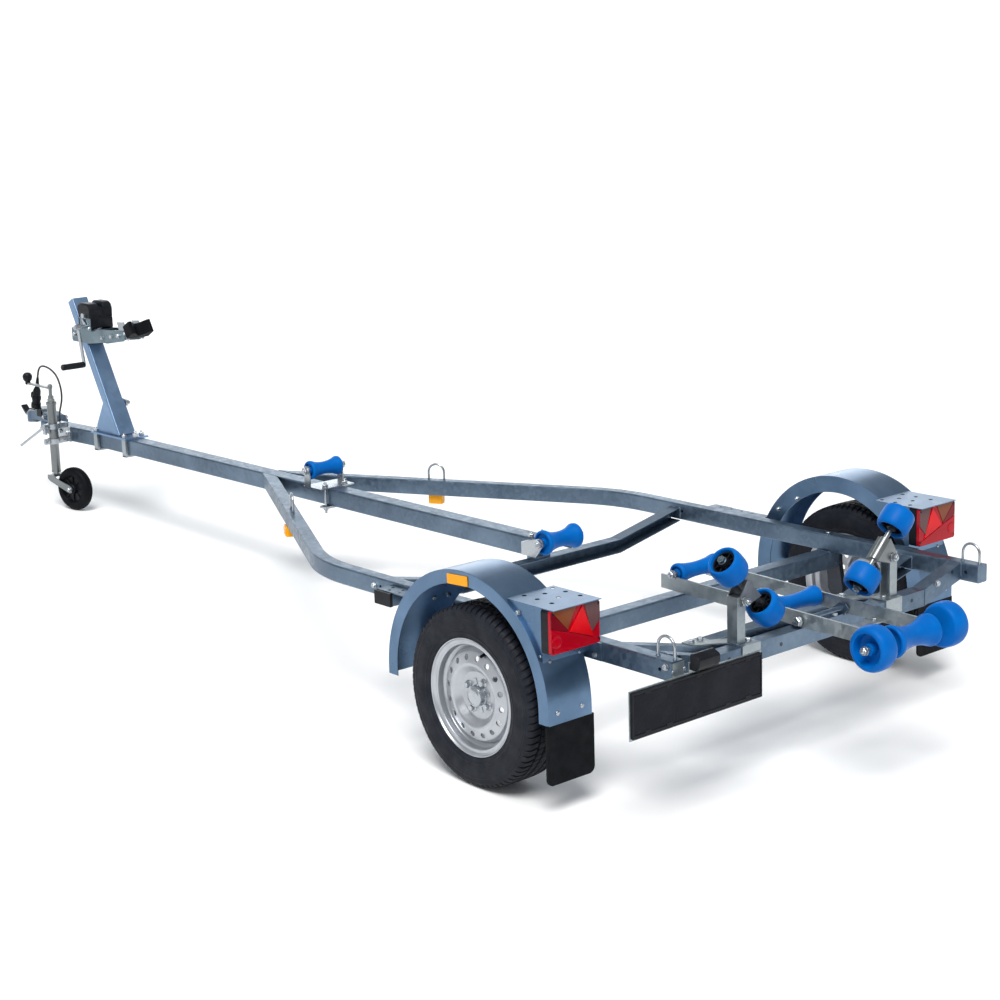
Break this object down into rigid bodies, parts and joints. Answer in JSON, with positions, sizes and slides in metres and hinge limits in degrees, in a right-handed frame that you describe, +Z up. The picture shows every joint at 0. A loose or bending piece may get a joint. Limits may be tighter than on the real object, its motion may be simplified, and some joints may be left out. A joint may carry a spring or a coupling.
{
  "type": "boat trailer",
  "caption": "Galvanised single-axle boat trailer with blue keel rollers, tilting stern cradle, wobble rollers, hand winch post and jockey wheel.",
  "frame": {"origin": "on the floor under the middle of the trailer", "axes": "+X the trailer's left side, +Y towards the stern, +Z up"},
  "size_m": [1.9142, 5.3868, 0.9874],
  "materials": {
    "galvanised_steel": "hot-dip galvanised steel, fine spangle, blue-grey",
    "bright_zinc": "bright zinc-plated steel",
    "dark_steel": "dull dark steel",
    "wheel_silver": "silver wheel lacquer",
    "tyre_rubber": "black tyre rubber",
    "black_rubber": "matt black rubber",
    "black_plastic": "black moulded plastic",
    "blue_roller": "vivid blue polyurethane",
    "lamp_red": "red lamp lens",
    "amber_lens": "amber lens"
  },
  "bodies": {
    "root": {"drawbar_beam": "galvanised_steel", "rail_left": "galvanised_steel", "rail_right": "galvanised_steel", "crossmember_front": "galvanised_steel", "crossmember_middle": "galvanised_steel", "crossmember_rear": "galvanised_steel", "axle_beam": "galvanised_steel", "axle_arms": "dark_steel", "fender_left": "galvanised_steel", "fender_right": "galvanised_steel", "tail_lamp_left": "lamp_red", "tail_lamp_right": "lamp_red", "mudflaps": "black_rubber", "fender_outriggers": "galvanised_steel", "outrigger_caps": "black_plastic", "plate_bracket": "galvanised_steel", "plate_holder": "black_plastic", "plate_lamp": "black_plastic", "lashing_eyes": "bright_zinc", "side_markers": "amber_lens", "coupling_head": "bright_zinc", "coupling_handle": "black_plastic", "jockey_clamp": "bright_zinc", "winch_post": "galvanised_steel", "winch_frame": "bright_zinc", "winch_cover": "black_plastic", "bow_stop_bracket": "bright_zinc", "bow_stop_block": "black_rubber", "keel_roller_brackets": "bright_zinc", "cradle_mount": "galvanised_steel", "roller_posts": "galvanised_steel", "plug_holder": "black_plastic", "plug": "black_plastic", "cable_grommet": "black_rubber", "plug_cable": "black_rubber"},
    "wheel_left": {"tyre_left": "tyre_rubber", "rim_left": "wheel_silver"},
    "wheel_right": {"tyre_right": "tyre_rubber", "rim_right": "wheel_silver"},
    "jockey_tube": {"jockey_tube": "bright_zinc"},
    "jockey_stem": {"jockey_stem": "bright_zinc"},
    "jockey_fork": {"jockey_fork": "bright_zinc"},
    "jockey_wheel": {"jockey_wheel": "black_rubber"},
    "winch_drum": {"winch_drum": "bright_zinc"},
    "winch_crank": {"winch_crank": "bright_zinc"},
    "keel_roller_front": {"keel_roller_front": "blue_roller"},
    "keel_roller_rear": {"keel_roller_rear": "blue_roller"},
    "cradle": {"cradle_frame": "galvanised_steel"},
    "cradle_roller_front": {"cradle_roller_front": "blue_roller"},
    "cradle_roller_middle": {"cradle_roller_middle": "blue_roller"},
    "stern_keel_roller": {"stern_keel_roller": "blue_roller"},
    "stern_wheel_left": {"stern_wheel_left": "blue_roller"},
    "stern_wheel_right": {"stern_wheel_right": "blue_roller"},
    "wobble_arm_left": {"wobble_arm_left": "bright_zinc"},
    "wobble_arm_right": {"wobble_arm_right": "bright_zinc"},
    "wobble_roller_left_outer": {"wobble_roller_left_outer": "blue_roller"},
    "wobble_roller_left_inner": {"wobble_roller_left_inner": "blue_roller"},
    "wobble_roller_right_outer": {"wobble_roller_right_outer": "blue_roller"},
    "wobble_roller_right_inner": {"wobble_roller_right_inner": "blue_roller"}
  },
  "joints": [
    {"name": "wheel_left_spin", "type": "hinge", "parent": "root", "child": "wheel_left", "pos_m": [0.872, 1.73791, 0.281], "axis": [1, 0, 0], "continuous": true},
    {"name": "wheel_right_spin", "type": "hinge", "parent": "root", "child": "wheel_right", "pos_m": [-0.872, 1.73791, 0.281], "axis": [1, 0, 0], "continuous": true},
    {"name": "jockey_tube_slide", "type": "slide", "parent": "root", "child": "jockey_tube", "axis": [0, -0.0253, 0.9997], "range_m": [-0.05, 0.065]},
    {"name": "jockey_screw", "type": "slide", "parent": "jockey_tube", "child": "jockey_stem", "axis": [0, 0.0253, -0.9997], "range_m": [0, 0.2]},
    {"name": "jockey_swivel", "type": "hinge", "parent": "jockey_stem", "child": "jockey_fork", "pos_m": [0.1, -2.23003, 0.14955], "axis": [0, -0.0253, 0.9997], "continuous": true},
    {"name": "jockey_wheel_spin", "type": "hinge", "parent": "jockey_fork", "child": "jockey_wheel", "pos_m": [0.07301, -2.11182, 0.10004], "axis": [0.9744, 0.2249, 0.0057], "continuous": true},
    {"name": "winch_drum_spin", "type": "hinge", "parent": "root", "child": "winch_drum", "pos_m": [0, -1.96056, 0.92462], "axis": [1, 0, 0], "continuous": true},
    {"name": "winch_crank_spin", "type": "hinge", "parent": "root", "child": "winch_crank", "pos_m": [0.08, -1.9434, 0.87904], "axis": [1, 0, 0], "continuous": true},
    {"name": "keel_roller_front_spin", "type": "hinge", "parent": "root", "child": "keel_roller_front", "pos_m": [0, -0.25821, 0.49756], "axis": [1, 0, 0], "continuous": true},
    {"name": "keel_roller_rear_spin", "type": "hinge", "parent": "root", "child": "keel_roller_rear", "pos_m": [0, 1.1109, 0.47119], "axis": [1, 0, 0], "continuous": true},
    {"name": "cradle_tilt", "type": "hinge", "parent": "root", "child": "cradle", "pos_m": [0, 2.2934, 0.46612], "axis": [-1, 0, 0], "range_deg": [-2, 15]},
    {"name": "cradle_roller_front_spin", "type": "hinge", "parent": "cradle", "child": "cradle_roller_front", "pos_m": [0, 1.76436, 0.50074], "axis": [1, 0, 0], "continuous": true},
    {"name": "cradle_roller_middle_spin", "type": "hinge", "parent": "cradle", "child": "cradle_roller_middle", "pos_m": [0, 2.18498, 0.48138], "axis": [1, 0, 0], "continuous": true},
    {"name": "stern_keel_roller_spin", "type": "hinge", "parent": "cradle", "child": "stern_keel_roller", "pos_m": [0, 2.62337, 0.47147], "axis": [1, 0, 0], "continuous": true},
    {"name": "stern_wheel_left_spin", "type": "hinge", "parent": "cradle", "child": "stern_wheel_left", "pos_m": [0.17, 2.62337, 0.47147], "axis": [1, 0, 0], "continuous": true},
    {"name": "stern_wheel_right_spin", "type": "hinge", "parent": "cradle", "child": "stern_wheel_right", "pos_m": [-0.17, 2.62337, 0.47147], "axis": [1, 0, 0], "continuous": true},
    {"name": "wobble_left_tilt", "type": "hinge", "parent": "root", "child": "wobble_arm_left", "pos_m": [0.347, 2.25963, 0.5753], "axis": [0, 0.9997, 0.0253], "range_deg": [-4, 14]},
    {"name": "wobble_left_outer_spin", "type": "hinge", "parent": "wobble_arm_left", "child": "wobble_roller_left_outer", "pos_m": [0.39078, 2.25692, 0.68226], "axis": [0.7193, -0.0176, 0.6944], "continuous": true},
    {"name": "wobble_left_inner_spin", "type": "hinge", "parent": "wobble_arm_left", "child": "wobble_roller_left_inner", "pos_m": [0.22822, 2.2609, 0.52532], "axis": [0.7193, -0.0176, 0.6944], "continuous": true},
    {"name": "wobble_right_tilt", "type": "hinge", "parent": "root", "child": "wobble_arm_right", "pos_m": [-0.347, 2.25963, 0.5753], "axis": [0, -0.9997, -0.0253], "range_deg": [-4, 14]},
    {"name": "wobble_right_outer_spin", "type": "hinge", "parent": "wobble_arm_right", "child": "wobble_roller_right_outer", "pos_m": [-0.39078, 2.25692, 0.68226], "axis": [-0.7193, -0.0176, 0.6944], "continuous": true},
    {"name": "wobble_right_inner_spin", "type": "hinge", "parent": "wobble_arm_right", "child": "wobble_roller_right_inner", "pos_m": [-0.22822, 2.2609, 0.52532], "axis": [-0.7193, -0.0176, 0.6944], "continuous": true}
  ],
  "couplings": [
    {"joint": "winch_crank_spin", "follows": "winch_drum_spin", "ratio": -4}
  ]
}
